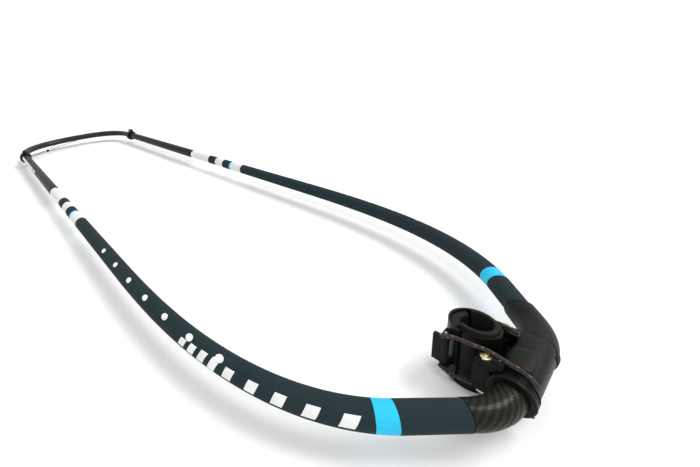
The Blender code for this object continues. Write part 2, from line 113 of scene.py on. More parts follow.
# Faces round a tube
SIDES = 48


def at(x, y, z=0.0):
    """A point of the boom, moved into the shared frame."""
    return Vector((x + FRAME_X, y, z + FRAME_Z))


def linked(name, data):
    """A new object that shows this data."""
    obj = bpy.data.objects.new(name, data)
    bpy.context.collection.objects.link(obj)
    return obj


# ---------------------------------------------------------------- materials

class Nodes:
    """Short names for building a material's node graph."""

    def __init__(self, name, colour, rough, metal=0.0, coat=0.0, sheen=0.0):
        self.mat = bpy.data.materials.new(name)
        self.mat.use_nodes = True
        self.tree = self.mat.node_tree
        self.bsdf = self.tree.nodes["Principled BSDF"]
        self.bsdf.inputs["Base Color"].default_value = (*colour, 1)
        self.bsdf.inputs["Roughness"].default_value = rough
        self.bsdf.inputs["Metallic"].default_value = metal
        self.bsdf.inputs["Coat Weight"].default_value = coat
        self.bsdf.inputs["Coat Roughness"].default_value = 0.12
        self.bsdf.inputs["Sheen Weight"].default_value = sheen

    def add(self, kind, **values):
        node = self.tree.nodes.new(kind)
        for key, value in values.items():
            setattr(node, key, value)
        return node

    def link(self, a, b):
        self.tree.links.new(a, b)

    def math(self, how, a, b=None):
        node = self.add("ShaderNodeMath", operation=how)
        for i, value in enumerate((a, b)):
            if value is None:
                continue
            if isinstance(value, (int, float)):
                node.inputs[i].default_value = value
            else:
                self.link(value, node.inputs[i])
        return node.outputs[0]

    def noise(self, scale, detail=3.0):
        node = self.add("ShaderNodeTexNoise")
        node.inputs["Scale"].default_value = scale
        node.inputs["Detail"].default_value = detail
        self.link(self.add("ShaderNodeTexCoord").outputs["Object"], node.inputs["Vector"])
        return node.outputs["Fac"]

    def mix(self, fac, a, b):
        node = self.add("ShaderNodeMix", data_type="RGBA")
        self.link(fac, node.inputs["Factor"])
        node.inputs["A"].default_value = (*a, 1)
        node.inputs["B"].default_value = (*b, 1)
        return node.outputs["Result"]

    def span(self, value, low, high):
        node = self.add("ShaderNodeMapRange")
        self.link(value, node.inputs["Value"])
        node.inputs["To Min"].default_value = low
        node.inputs["To Max"].default_value = high
        return node.outputs["Result"]

    def bump(self, height, strength, distance):
        node = self.add("ShaderNodeBump")
        node.inputs["Strength"].default_value = strength
        node.inputs["Distance"].default_value = distance
        self.link(height, node.inputs["Height"])
        self.link(node.outputs["Normal"], self.bsdf.inputs["Normal"])


def moulded(name, colour, rough, grain=900.0, depth=0.00006):
    """Satin moulded plastic or rubber with a fine grain and slight unevenness."""
    n = Nodes(name, colour, rough)
    n.bsdf.inputs["Specular IOR Level"].default_value = 0.16
    broad = n.noise(35.0)
    n.link(n.mix(broad, tuple(c * 0.8 for c in colour), tuple(c * 1.25 for c in colour)),
           n.bsdf.inputs["Base Color"])
    n.link(n.span(broad, rough - 0.07, rough + 0.07), n.bsdf.inputs["Roughness"])
    n.bump(n.noise(grain, 2.0), 0.35, depth)
    return n.mat


def foam(name, colour, rough=0.85):
    """Fine closed-cell foam, a little worn."""
    n = Nodes(name, colour, rough)
    n.bsdf.inputs["Specular IOR Level"].default_value = 0.22
    speck = n.noise(1500.0, 2.0)
    blotch = n.noise(22.0, 4.0)
    both = n.math("ADD", n.math("MULTIPLY", speck, 0.55), n.math("MULTIPLY", blotch, 0.45))
    n.link(n.mix(both, tuple(c * 0.72 for c in colour), tuple(min(1, c * 1.28) for c in colour)),
           n.bsdf.inputs["Base Color"])
    n.bump(speck, 0.45, 0.0002)
    return n.mat


def woven_carbon(name, coat):
    """Twill carbon under a clear coat; the weave follows the tube's own coordinates."""
    n = Nodes(name, (0.012, 0.013, 0.009), 0.46, coat=coat)
    n.bsdf.inputs["Specular IOR Level"].default_value = 0.14
    uv = n.add("ShaderNodeUVMap").outputs["UV"]
    split = n.add("ShaderNodeSeparateXYZ")
    n.link(uv, split.inputs[0])
    across = n.math("FLOOR", split.outputs["X"])
    along = n.math("FLOOR", split.outputs["Y"])
    step = n.math("MODULO", n.math("ADD", n.math("ADD", across, along), 400.0), 4.0)
    over = n.math("LESS_THAN", step, 1.5)
    n.link(n.mix(over, (0.003, 0.0034, 0.002), (0.013, 0.014, 0.007)), n.bsdf.inputs["Base Color"])
    n.link(n.span(over, 0.55, 0.36), n.bsdf.inputs["Roughness"])
    n.bump(n.math("ADD", n.math("MULTIPLY", over, 0.5), n.noise(60.0)), 0.18, 0.00015)
    return n.mat


def metal(name, colour, rough):
    """Plain metal with slightly uneven polish."""
    n = Nodes(name, colour, rough, metal=1.0)
    n.link(n.span(n.noise(260.0), rough - 0.08, rough + 0.12), n.bsdf.inputs["Roughness"])
    n.bump(n.noise(900.0), 0.2, 0.00003)
    return n.mat


def braid(name, colour, fleck, share):
    """Braided cord: raised crossing yarns with coloured flecks."""
    n = Nodes(name, colour, 0.8, sheen=0.2)
    uv = n.add("ShaderNodeUVMap").outputs["UV"]
    split = n.add("ShaderNodeSeparateXYZ")
    n.link(uv, split.inputs[0])
    x, y = split.outputs["X"], split.outputs["Y"]
    left = n.math("SINE", n.math("MULTIPLY", n.math("ADD", x, y), math.pi))
    right = n.math("SINE", n.math("MULTIPLY", n.math("SUBTRACT", x, y), math.pi))
    height = n.math("MAXIMUM", n.math("ABSOLUTE", left), n.math("ABSOLUTE", right))
    cell = n.add("ShaderNodeCombineXYZ")
    n.link(n.math("FLOOR", n.math("ADD", x, y)), cell.inputs[0])
    n.link(n.math("FLOOR", n.math("SUBTRACT", x, y)), cell.inputs[1])
    white = n.add("ShaderNodeTexWhiteNoise", noise_dimensions="2D")
    n.link(cell.outputs[0], white.inputs["Vector"])
    n.link(n.mix(n.math("LESS_THAN", white.outputs["Value"], share), colour, fleck),
           n.bsdf.inputs["Base Color"])
    n.bump(height, 0.8, 0.0004)
    return n.mat


def studio_floor(name):
    """The pale floor under the boom."""
    n = Nodes(name, (0.93, 0.93, 0.93), 0.75)
    n.link(n.mix(n.noise(6.0), (0.92, 0.92, 0.92), (0.94, 0.94, 0.94)), n.bsdf.inputs["Base Color"])
    return n.mat


# ---------------------------------------------------------------- mesh makers

def finish_mesh(name, verts, faces, mats, face_mats=None, uvs=None, sharp=35):
    """A piece made from its points and faces, shaded smooth except at sharp edges."""
    mesh = bpy.data.meshes.new(name)
    mesh.from_pydata([tuple(v) for v in verts], [], faces)
    for mat in mats:
        mesh.materials.append(mat)
    if face_mats:
        for poly, k in zip(mesh.polygons, face_mats):
            poly.material_index = k
    if uvs:
        layer = mesh.uv_layers.new(name="UVMap")
        for loop, uv in zip(layer.data, (uv for face in uvs for uv in face)):
            loop.uv = uv
    for poly in mesh.polygons:
        poly.use_smooth = True
    mesh.set_sharp_from_angle(angle=math.radians(sharp))
    return linked(name, mesh)


def recalc(obj):
    """Turns every face of a piece outward."""
    bm = bmesh.new()
    bm.from_mesh(obj.data)
    bmesh.ops.recalc_face_normals(bm, faces=bm.faces)
    bm.to_mesh(obj.data)
    bm.free()


def frames(path):
    """Across and up directions at each point of a path that lies nearly flat."""
    out = []
    for k in range(len(path)):
        t = (path[min(k + 1, len(path) - 1)] - path[max(k - 1, 0)]).normalized()
        across = Vector((-t.y, t.x, 0)).normalized()
        out.append((across, t.cross(across)))
    return out


def sleeve(name, path, size, mats, choose=None, inner=None):
    """A tube with an open bore along a flat path.

    size and inner give (half width, half height) at each point, and choose the material of each ring."""
    around = round(math.pi * GRIP_OD / WEAVE_CELL)
    along = [0.0]
    for a, b in zip(path, path[1:]):
        along.append(along[-1] + (b - a).length)
    verts, faces, fm, uvs = [], [], [], []
    n = len(path)
    basis = frames(path)
    for get in (size, inner):
        for k, p in enumerate(path):
            w, h = get(k)
            across, up = basis[k]
            verts += [p + across * (w * math.cos(2 * math.pi * i / SIDES))
                      + up * (h * math.sin(2 * math.pi * i / SIDES)) for i in range(SIDES)]
    shift = n * SIDES
    for k in range(n - 1):
        for i in range(SIDES):
            j = (i + 1) % SIDES
            a, b = k * SIDES, (k + 1) * SIDES
            faces.append((a + i, a + j, b + j, b + i))
            u0, u1 = around * i / SIDES, around * (i + 1) / SIDES
            v0, v1 = along[k] / WEAVE_CELL, along[k + 1] / WEAVE_CELL
            uvs.append(((u0, v0), (u1, v0), (u1, v1), (u0, v1)))
            fm.append(choose(k) if choose else 0)
            faces.append((shift + b + i, shift + b + j, shift + a + j, shift + a + i))
            uvs.append(((u0, v1), (u1, v1), (u1, v0), (u0, v0)))
            fm.append(choose(k) if choose else 0)
    for k, flip in ((0, True), (n - 1, False)):
        for i in range(SIDES):
            j = (i + 1) % SIDES
            a = k * SIDES
            f = (a + i, a + j, shift + a + j, shift + a + i)
            faces.append(f[::-1] if flip else f)
            uvs.append(((0, 0),) * 4)
            fm.append(choose(min(k, n - 2)) if choose else 0)
    return finish_mesh(name, verts, faces, mats, fm, uvs)


def soften(node, name, mat, width):
    """A copy of a CAD piece with rounded edges, shown in its place."""
    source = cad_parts[node]
    mesh = source.data.copy()
    mesh.transform(source.matrix_world)
    mesh.name = name
    mesh.materials.clear()
    mesh.materials.append(mat)
    bm = bmesh.new()
    bm.from_mesh(mesh)
    bmesh.ops.remove_doubles(bm, verts=bm.verts, dist=0.00002)
    bmesh.ops.dissolve_limit(bm, angle_limit=math.radians(1.5), verts=bm.verts, edges=bm.edges)
    bm.to_mesh(mesh)
    bm.free()
    for poly in mesh.polygons:
        poly.use_smooth = True
    mesh.set_sharp_from_angle(angle=math.radians(30))
    obj = linked(name, mesh)
    if mesh.has_custom_normals:
        with bpy.context.temp_override(object=obj, active_object=obj):
            bpy.ops.mesh.customdata_custom_splitnormals_clear()
    bevel = obj.modifiers.new("edges", "BEVEL")
    bevel.width = width
    bevel.segments = 3
    bevel.limit_method = "ANGLE"
    bevel.angle_limit = math.radians(32)
    bevel.harden_normals = True
    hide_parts(node)
    return obj


def smooth_line(points, count):
    """A smooth line through given points."""
    pts = [Vector(p) for p in points]
    ext = [pts[0] * 2 - pts[1]] + pts + [pts[-1] * 2 - pts[-2]]
    line = []
    for i in range(count + 1):
        u = i / count * (len(pts) - 1)
        k = min(int(u), len(pts) - 2)
        t = u - k
        a, b, c, d = ext[k:k + 4]
        line.append(0.5 * (2 * b + (c - a) * t + (2 * a - 5 * b + 4 * c - d) * t * t
                           + (3 * b - a - 3 * c + d) * t ** 3))
    return line


def cord(name, points, diameter, mat):
    """A round cord through given points, as a curve with closed ends."""
    curve = bpy.data.curves.new(name, "CURVE")
    curve.dimensions = "3D"
    curve.bevel_depth = diameter / 2
    curve.bevel_resolution = 4
    curve.use_fill_caps = True
    line = smooth_line(points, 60)
    spline = curve.splines.new("POLY")
    spline.points.add(len(line) - 1)
    for sp, p in zip(spline.points, line):
        sp.co = (*p, 1)
    curve.materials.append(mat)
    return linked(name, curve)


def rope(name, points, diameter, mat):
    """A braided rope with a lumpy outline and its own coordinates for the braid."""
    line = smooth_line(points, 90)
    sides, verts, faces, uvs = 16, [], [], []
    run = 0.0
    pitch = diameter * 0.55
    stations = []
    for k, p in enumerate(line):
        t = (line[min(k + 1, len(line) - 1)] - line[max(k - 1, 0)]).normalized()
        a = t.cross(Vector((0, 0, 1)))
        a = a.normalized() if a.length > 0.05 else Vector((0, 1, 0))
        b = t.cross(a).normalized()
        if k:
            run += (p - line[k - 1]).length
        stations.append(run / pitch)
        for i in range(sides):
            q = 2 * math.pi * i / sides
            r = diameter / 2 * (0.95 + 0.05 * math.sin(6 * q + run / pitch * math.pi))
            verts.append(p + a * (r * math.cos(q)) + b * (r * math.sin(q)))
    for k in range(len(line) - 1):
        for i in range(sides):
            j = (i + 1) % sides
            faces.append((k * sides + i, (k + 1) * sides + i, (k + 1) * sides + j, k * sides + j))
            u0, u1 = 6 * i / sides, 6 * (i + 1) / sides
            uvs.append(((u0, stations[k]), (u0, stations[k + 1]), (u1, stations[k + 1]), (u1, stations[k])))
    faces.append(tuple(range(sides)))
    faces.append(tuple(reversed(range((len(line) - 1) * sides, len(line) * sides))))
    uvs += [((0, 0),) * sides] * 2
    return finish_mesh(name, verts, faces, [mat], None, uvs, 60)


# ---------------------------------------------------------------- centre lines

def front_path(side, end_y):
    """Centre line from the middle of the front tube out round the elbow to a distance off centre."""
    pts = [at(FRONT_X, side * FRONT_HALF * i / 6) for i in range(7)]
    for i in range(1, 17):
        q = BEND_TURN * i / 16
        pts.append(at(FRONT_X - ELBOW_R * (1 - math.cos(q)), side * (FRONT_HALF + ELBOW_R * math.sin(q))))
    step = Vector((-math.sin(BEND_TURN), side * math.cos(BEND_TURN), 0))
    pts.append(pts[-1] + step * ((end_y - abs(pts[-1].y)) / math.cos(BEND_TURN)))
    return pts


def bow_points(side, count):
    """The bowed part of one arm."""
    a = Vector((BOW_START[0], BOW_START[1], 0))
    d = Vector((BOW_END_X, ARM_HALF, 0))
    b = a + Vector((-math.sin(BEND_TURN), math.cos(BEND_TURN), 0)) * BOW_HANDLE_FRONT
    c = d + Vector((BOW_HANDLE_REAR, 0, 0))
    out = []
    for i in range(count + 1):
        t = i / count
        p = a * (1 - t) ** 3 + b * 3 * t * (1 - t) ** 2 + c * 3 * t * t * (1 - t) + d * t ** 3
        out.append(at(p.x, side * p.y))
    return out


def arm_line(side, from_y, stops):
    """Centre line of one arm, with a station at each of the given places along it."""
    slope = math.tan(BEND_TURN)
    points = [at(BOW_START[0] + (BOW_START[1] - from_y) * slope, side * from_y)] + bow_points(side, 60)
    points += [at(BOW_END_X - 0.02 * i, side * ARM_HALF) for i in range(1, 62)]
    end = min(stops)
    points = [p for p in points if p.x > end + FRAME_X + 1e-5]
    for stop in stops:
        x = stop + FRAME_X
        if stop == end:
            points.append(at(end, side * ARM_HALF))
        elif x < points[0].x and min(abs(p.x - x) for p in points) > 1e-4:
            k = next(i for i, p in enumerate(points) if p.x < x)
            a, b = points[k - 1], points[k]
            points.insert(k, a.lerp(b, (a.x - x) / (a.x - b.x)))
    return points


def tail_path(count):
    """Centre line of the tail, from the end of one leg round the arch to the end of the other."""
    first, last = ARM_END_X + LEG_INSIDE, ARM_END_X - 0.006
    straight = [at(first + (last - first) * i / 12, -ARM_HALF) for i in range(13)]
    arch = []
    for i in range(1, count):
        q = math.pi * i / count
        cy = math.copysign(abs(math.cos(q)) ** 0.80, math.cos(q))
        arch.append(at(last - TAIL_REACH * math.sin(q) ** 0.80, -ARM_HALF * cy))
    return straight + arch + [Vector((p.x, -p.y, p.z)) for p in reversed(straight)]


def on_surface(line, x, angle, radius):
    """A point on a tube at a place along the boom; angle is 0 at the top and grows outward."""
    x += FRAME_X
    k = next((i for i in range(1, len(line)) if line[i].x < x), len(line) - 1)
    a, b = line[k - 1], line[k]
    p = a.lerp(b, (a.x - x) / max(1e-9, a.x - b.x))
    t = (line[min(k + 2, len(line) - 1)] - line[max(k - 3, 0)]).normalized()
    across = Vector((-t.y, t.x, 0)).normalized()
    if across.y * p.y < 0:
        across = -across
    return p + across * (radius * math.sin(angle)) + Vector((0, 0, radius * math.cos(angle)))


# ---------------------------------------------------------------- tubes and grips

def grip_marks(side, line, white):
    """Raised position dots and plain slanted bars on a grip, as one piece lying on its surface."""
    verts, faces = [], []
    r = GRIP_OD / 2

    def patch(place, angle, half_long, half_round, round_shape, slant, height):
        first, rings, steps = len(verts), (1.0, 0.93, 0.6, 0.25), 24
        lifts = (-0.0004, height * 0.75, height, height)
        for ring, lift in zip(rings, lifts):
            for i in range(steps):
                q = 2 * math.pi * i / steps
                u, v = math.cos(q), math.sin(q)
                if not round_shape:
                    big = max(abs(u), abs(v))
                    u, v = u / big, v / big
                dx = ring * (u * half_long + slant * v * half_round)
                verts.append(on_surface(line, place + dx, angle + ring * v * half_round / r, r + lift))
        for k in range(3):
            for i in range(steps):
                j = (i + 1) % steps
                a, b = first + k * steps, first + (k + 1) * steps
                faces.append((a + i, a + j, b + j, b + i))
        faces.append(tuple(range(first + 3 * steps, first + 4 * steps)))

    for x in DOT_PLACES:
        patch(x, DOT_ANGLE, DOT_HALF_LENGTH, DOT_HALF_WIDTH, True, 0.0, 0.0007)
    for i in range(WIDE_BARS):
        patch(WIDE_BAR_START - WIDE_BAR_PITCH * i, BAR_ANGLE, 0.0062, 0.0075, False, 0.35 * side, PRINT_LIFT)
    for i in range(TALL_BARS):
        half_round = 0.0100 - 0.0013 * i
        place = TALL_BAR_START - TALL_BAR_PITCH * i
        patch(place, BAR_ANGLE, 0.0056, half_round, False, 0.45 * side, PRINT_LIFT)
    name = ("port" if side < 0 else "starboard") + "_grip_marks"
    obj = finish_mesh(name, verts, faces, [white])
    recalc(obj)
    return obj


def tube_band(name, line, x0, x1, a0, a1, radius, mat):
    """A thin printed strip lying on a rear tube."""
    verts, faces = [], []
    n, m = 20, 8
    for lift in (0.0, -0.0003):
        for i in range(n + 1):
            for j in range(m + 1):
                verts.append(on_surface(line, x0 + (x1 - x0) * i / n, a0 + (a1 - a0) * j / m, radius + lift))
    row, size = m + 1, (n + 1) * (m + 1)
    for i in range(n):
        for j in range(m):
            a = i * row + j
            faces.append((a, a + 1, a + row + 1, a + row))
            faces.append((size + a + row, size + a + row + 1, size + a + 1, size + a))
    rim = [i * row for i in range(n + 1)] + [n * row + j for j in range(1, m + 1)]
    rim += [i * row + m for i in range(n - 1, -1, -1)] + list(range(m - 1, 0, -1))
    for a, b in zip(rim, rim[1:] + rim[:1]):
        faces.append((a, b, size + b, size + a))
    obj = finish_mesh(name, verts, faces, [mat])
    recalc(obj)
    return obj


def make_grips(mats):
    """The foam grips with their coloured bands and printed marks."""
    starts = [x for x, name in FOAM_BANDS[1:]]
    kinds = ("foam", "cyan", "white")
    palette = [mats["grip"], mats["cyan"], mats["white_foam"]]
    for side, tag in ((-1, "port"), (1, "starboard")):
        line = arm_line(side, GRIP_START_Y + 0.0065, starts + [GRIP_END_X + 0.0122])

        def band(k):
            middle = (line[k].x + line[k + 1].x) / 2 - FRAME_X
            return kinds.index([name for x, name in FOAM_BANDS if middle < x][-1])

        last = len(line) - 1
        edge = lambda k: GRIP_OD / 2 - (0.0006 if k in (0, last) else 0.0)
        grip = sleeve(tag + "_grip_foam", line, lambda k: (edge(k),) * 2, palette, band,
                      inner=lambda k: (CORE_OD / 2 + 0.0003,) * 2)
        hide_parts(tag + "_grip")
        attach(grip, "frame")
        marks = grip_marks(side, line, mats["print"])
        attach(marks, "frame")


def make_tubes(mats):
    """The carbon arms with their plain printed strips, and the front tube."""
    for side, tag in ((-1, "port"), (1, "starboard")):
        cut = [GRIP_END_X + 0.012, GRIP_END_X - 0.004]
        line = arm_line(side, 0.1002, cut + [ARM_END_X])
        radius = lambda k: REAR_OD / 2 if line[k].x - FRAME_X < GRIP_END_X - 0.003 else CORE_OD / 2
        tube = sleeve(tag + "_carbon_arm", line, lambda k: (radius(k),) * 2, [mats["carbon"]],
                      inner=lambda k: (radius(k) - TUBE_WALL,) * 2)
        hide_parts(tag + "_arm_tube")
        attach(tube, "frame")
        strip = tube_band(tag + "_plain_strip", line, ARM_END_X + 0.024, ARM_END_X + 0.360,
                          math.radians(48), math.radians(90), REAR_OD / 2 + 0.00018, mats["print"])
        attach(strip, "frame")
        for i in range(3):
            x = ARM_END_X + 0.300 + 0.016 * i
            line_mark = tube_band(tag + "_strip_line_%d" % (i + 1), line, x, x + 0.0055, math.radians(47),
                                  math.radians(91), REAR_OD / 2 + 0.0003, mats["dark_print"])
            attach(line_mark, "frame")
    path = list(reversed(front_path(-1, 0.0996)))[:-1] + front_path(1, 0.0996)
    front = sleeve("carbon_front_tube", path, lambda k: (ELBOW_OD / 2,) * 2, [mats["carbon"]],
                   inner=lambda k: (ELBOW_OD / 2 - FRONT_WALL,) * 2)
    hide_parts("front_tube")
    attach(front, "frame")


# ---------------------------------------------------------------- tail

def bar(name, points, offset, width):
    """A flat curved bar through the tail, beside its centre line, used to cut a slot."""
    verts, faces = [], []
    n = len(points)
    for k, p in enumerate(points):
        t = (points[min(k + 1, n - 1)] - points[max(k - 1, 0)]).normalized()
        side = Vector((-t.y, t.x, 0))
        for w, z in ((-0.5, -0.03), (0.5, -0.03), (0.5, 0.03), (-0.5, 0.03)):
            verts.append(p + side * (offset + w * width) + Vector((0, 0, z)))
    for i in range(n - 1):
        a, b = 4 * i, 4 * i + 4
        faces += [(a + k, b + k, b + (k + 1) % 4, a + (k + 1) % 4) for k in range(4)]
    faces += [(0, 1, 2, 3), tuple(reversed(range(4 * n - 4, 4 * n)))]
    obj = finish_mesh(name, verts, faces, [])
    recalc(obj)
    return obj


def cut(obj, other):
    """Cuts a closed body away from a piece."""
    mod = obj.modifiers.new("cut", "BOOLEAN")
    mod.operation = "DIFFERENCE"
    mod.solver = "EXACT"
    mod.object = other
    with bpy.context.temp_override(object=obj, active_object=obj, selected_objects=[obj]):
        bpy.ops.object.modifier_apply(modifier=mod.name)
    bpy.data.objects.remove(other)


def make_tail(mats):
    """The sliding tail with its outer slot and its window for the inner sheaves."""
    count = 72
    path = tail_path(count)
    leg, last = LEG_OD / 2, len(path) - 1
    widen = ARCH_WIDTH / 2 - leg

    def grow(k):
        f = min(1.0, max(0.0, (min(k, last - k) - 15) / 16.0))
        return f * f * (3 - 2 * f)

    size = lambda k: (leg + widen * grow(k), leg + (ARCH_HEIGHT / 2 - leg) * grow(k))
    bore = lambda k: (leg - LEG_WALL,) * 2 if min(k, last - k) <= 12 else (0.0016,) * 2
    tail = sleeve("carbon_tail", path, size, [mats["carbon_gloss"]], inner=bore)
    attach(tail, "tail")
    reach = ARM_HALF * math.sin(SLOT_HALF_ANGLE) + 0.001
    slot = [p for p in path if abs(p.y) <= reach]
    cut(tail, bar("slot", slot, SLOT_OFFSET, SLOT_WIDTH))
    mid = path[len(path) // 2]
    window = [mid + Vector((0, WINDOW_HALF * s, 0)) for s in (-1, 1)]
    cut(tail, bar("window", window if slot[0].y < 0 else window[::-1], WINDOW_OFFSET, WINDOW_WIDTH))
    tail.data.set_sharp_from_angle(angle=math.radians(35))
    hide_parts("tail_tube")


# ---------------------------------------------------------------- head and clamps

def make_head(mats):
    """Rounded stand-ins for the moulded pieces, and materials for the small ones."""
    black, rubber, cover = mats["plastic"], mats["rubber"], mats["cover"]
    for node, body, mat, slot, width in (
            ("upper_shell", "head", black, "black_plastic", 0.0011),
            ("lower_shell", "head", black, "black_plastic", 0.0011),
            ("mast_cup", "head", black, "black_plastic", 0.0010),
            ("cup_liner", "head", rubber, "rubber", 0.0012),
            ("rear_jaw", "jaw", black, "black_plastic", 0.0010),
            ("jaw_liner", "jaw", rubber, "rubber", 0.0010),
            ("lashing_lever", "head_lever", cover, "cover_plastic", 0.0014),
            ("port_collar", "frame", black, "black_plastic", 0.0003),
            ("port_clamp", "frame", black, "black_plastic", 0.0006),
            ("starboard_clamp", "frame", black, "black_plastic", 0.0006),
            ("port_clamp_lever", "port_lever", black, "black_plastic", 0.0009),
            ("starboard_clamp_lever", "starboard_lever", black, "black_plastic", 0.0009)):
        piece = soften(node, "soft_" + node, mat, width)
        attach(piece, body)
    for node, mat in (("jaw_pin", "steel"), ("lever_pin", "steel"), ("port_bolt", "brass"),
                      ("starboard_bolt", "brass"), ("port_nut", "steel"), ("starboard_nut", "steel"),
                      ("port_clamp_pin", "steel"), ("starboard_clamp_pin", "steel"),
                      ("port_clamp_pad", "rubber"), ("starboard_clamp_pad", "rubber"),
                      ("tube_shim", "rubber"), ("port_tail_button", "plastic"),
                      ("starboard_tail_button", "plastic")):
        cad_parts[node].material_slots[0].material = mats[mat]
    for i in (1, 2, 3):
        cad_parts["sheave_pin_%d" % i].material_slots[0].material = mats["steel"]
        for row in ("inner", "outer"):
            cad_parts["%s_sheave_%d" % (row, i)].material_slots[0].material = mats["plastic"]


def make_far_hood(mats):
    """The far collar with its moulded hood over the elbow, lapping onto the grip."""
    path = [at(FRONT_X, 0.0406 + 0.0012 * i) for i in range(5)] + front_path(1, 0.112)[7:]
    fine = []
    for a, b in zip(path, path[1:]):
        steps = max(1, round((b - a).length / 0.0016))
        fine += [a.lerp(b, i / steps) for i in range(steps)]
    path = fine + [path[-1]]
    run = [0.0]
    for a, b in zip(path, path[1:]):
        run.append(run[-1] + (b - a).length)

    def outer(k):
        s = run[k]
        end = run[-1] - s
        if s < 0.0052:
            r = COLLAR_OD / 2 - (0.001 if s < 0.0006 else 0.0)
        elif s < 0.0075:
            r = 0.0178
        else:
            r = 0.0196 - 0.0026 * min(1.0, (s - 0.0075) / 0.045)
        return (r - max(0.0, 0.0016 - end) * 0.6,) * 2

    hood = sleeve("far_elbow_hood", path, outer, [mats["cover"]], inner=lambda k: (HOOD_ID / 2,) * 2)
    for k in range(len(path)):
        share = max(0.0, 1.0 - (run[-1] - run[k]) / 0.020)
        t = (path[min(k + 1, len(path) - 1)] - path[max(k - 1, 0)]).normalized()
        for i in range(SIDES):
            wave = 0.0035 * share * math.sin(2 * math.pi * i / SIDES * 2 + 0.6)
            for first in (0, len(path) * SIDES):
                hood.data.vertices[first + k * SIDES + i].co += t * wave
    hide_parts("starboard_collar")
    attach(hood, "frame")


def barrel_pad(name, middle, half_angle, y0, y1, foot, lift, mat, power=5.0):
    """A raised pad with rounded corners and edges, lying on the barrel."""
    rings = ((1.0, 0.0), (1.0, 0.55), (0.985, 0.86), (0.955, 1.0), (0.70, 1.06), (0.35, 1.09))
    steps, verts, faces = 64, [], []
    half = (y1 - y0) / 2
    place = lambda ang, y, r: at(FRONT_X + r * math.cos(ang), y, r * math.sin(ang))
    for scale, rise in rings:
        for i in range(steps):
            q = 2 * math.pi * i / steps
            u = math.copysign(abs(math.cos(q)) ** (2 / power), math.cos(q)) * scale
            v = math.copysign(abs(math.sin(q)) ** (2 / power), math.sin(q)) * scale
            verts.append(place(middle + u * half_angle, (y0 + y1) / 2 + v * half, foot + lift * rise))
    for k in range(len(rings) - 1):
        for i in range(steps):
            j = (i + 1) % steps
            a, b = k * steps, (k + 1) * steps
            faces.append((a + i, a + j, b + j, b + i))
    last = (len(rings) - 1) * steps
    faces.append(tuple(range(last, last + steps)))
    under = len(verts)
    for i in range(9):
        for j in range(9):
            u, v = (i - 4) / 4.0 * 0.8, (j - 4) / 4.0 * 0.8
            verts.append(place(middle + u * half_angle, (y0 + y1) / 2 + v * half, foot))
    for i in range(8):
        for j in range(8):
            a = under + 9 * i + j
            faces.append((a, a + 1, a + 10, a + 9))
    obj = finish_mesh(name, verts, faces, [mat], None, None, 50)
    recalc(obj)
    return obj


def make_saddle(mats):
    """The saddle cover on the barrel: a broad base with a raised pad toward the near side."""
    foot = BARREL_OD / 2 + 0.0004
    base = barrel_pad("saddle_cover", math.radians(80), math.radians(44), -0.0300, 0.0395, foot, 0.0034,
                      mats["cover"], 7.0)
    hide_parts("top_cover")
    pad = barrel_pad("saddle_raised_pad", math.radians(92), math.radians(30), -0.0285, 0.0050, foot + 0.0032,
                     0.0034, mats["cover"], 4.0)
    for piece in (base, pad):
        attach(piece, "head")
    for i, (y0, y1) in enumerate(((-0.0399, -0.0370), (-0.0335, -0.0322), (0.0372, 0.0399)), 1):
        rib = sleeve("barrel_rib_%d" % i, [at(FRONT_X, y0 + (y1 - y0) * t) for t in (0, 0.25, 0.75, 1)],
                     lambda k: (BARREL_OD / 2 + (0.0006 if k in (0, 3) else 0.0012),) * 2, [mats["plastic"]],
                     inner=lambda k: (BARREL_OD / 2 - 0.0004,) * 2)
        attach(rib, "head")


# ---------------------------------------------------------------- cords

def make_lashing(mats):
    """The three tight strands of the lashing on the head."""
    z = 0.0262
    routes = {
        "upper": [(-0.0075, -0.0362, 0.0205), (0.004, -0.0345, 0.0265), (0.020, -0.0310, z),
                  (0.036, -0.0290, z + 0.0012), (0.052, -0.0300, z), (0.068, -0.0330, z),
                  (0.0790, -0.0335, 0.0190)],
        "lower": [(-0.0075, -0.0362, -0.0205), (0.004, -0.0345, -0.0265), (0.020, -0.0310, -z),
                  (0.036, -0.0290, -z - 0.0012), (0.052, -0.0300, -z), (0.068, -0.0330, -z),
                  (0.0790, -0.0335, -0.0190)],
        "far": [(0.0225, 0.0290, 0.0240), (0.032, 0.0275, z), (0.042, 0.0255, 0.0270), (0.050, 0.0240, z)]}
    for name, points in routes.items():
        piece = rope("braided_lashing_" + name, [at(*p) for p in points], ROPE_D, mats["rope"])
        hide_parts("lashing_" + name)
        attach(piece, "head")


def make_tail_lines(mats):
    """The thin loose lines inside the tail, joined at a knot with a toggle."""
    inner = ARM_END_X - 0.006 - TAIL_REACH + ARCH_WIDTH / 2 + 0.0045
    knot = at(inner + 0.105, -0.150, -0.012)
    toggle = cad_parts["tail_toggle"]
    toggle.material_slots[0].material = mats["plastic"]
    port = [at(inner + 0.003, -0.072, -0.002), at(inner + 0.022, -0.088, -0.004),
            at(inner + 0.060, -0.122, -0.009), knot + Vector((-0.012, 0.012, 0.001))]
    starboard = [knot + Vector((-0.004, 0.020, 0.001)), at(inner + 0.080, -0.105, -0.011),
                 at(inner + 0.052, -0.040, -0.007), at(inner + 0.030, 0.020, -0.004),
                 at(inner + 0.0015, 0.052, -0.002)]
    leg = [knot + Vector((0.0, -0.016, 0.0)), at(ARM_END_X - 0.052, -0.215, -0.006),
           at(ARM_END_X - 0.050, -ARM_HALF + 0.018, -0.004)]
    for name, points, length, end, pieces in (
            ("port", port, 0.113, "knot", (toggle,)), ("starboard", starboard, 0.211, "object", ()),
            ("leg", leg, 0.130, "object", ())):
        line = cord("thin_line_" + name, points, LINE_D, mats["line"])
        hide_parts("tail_line_" + name)
        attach(line, "tail")


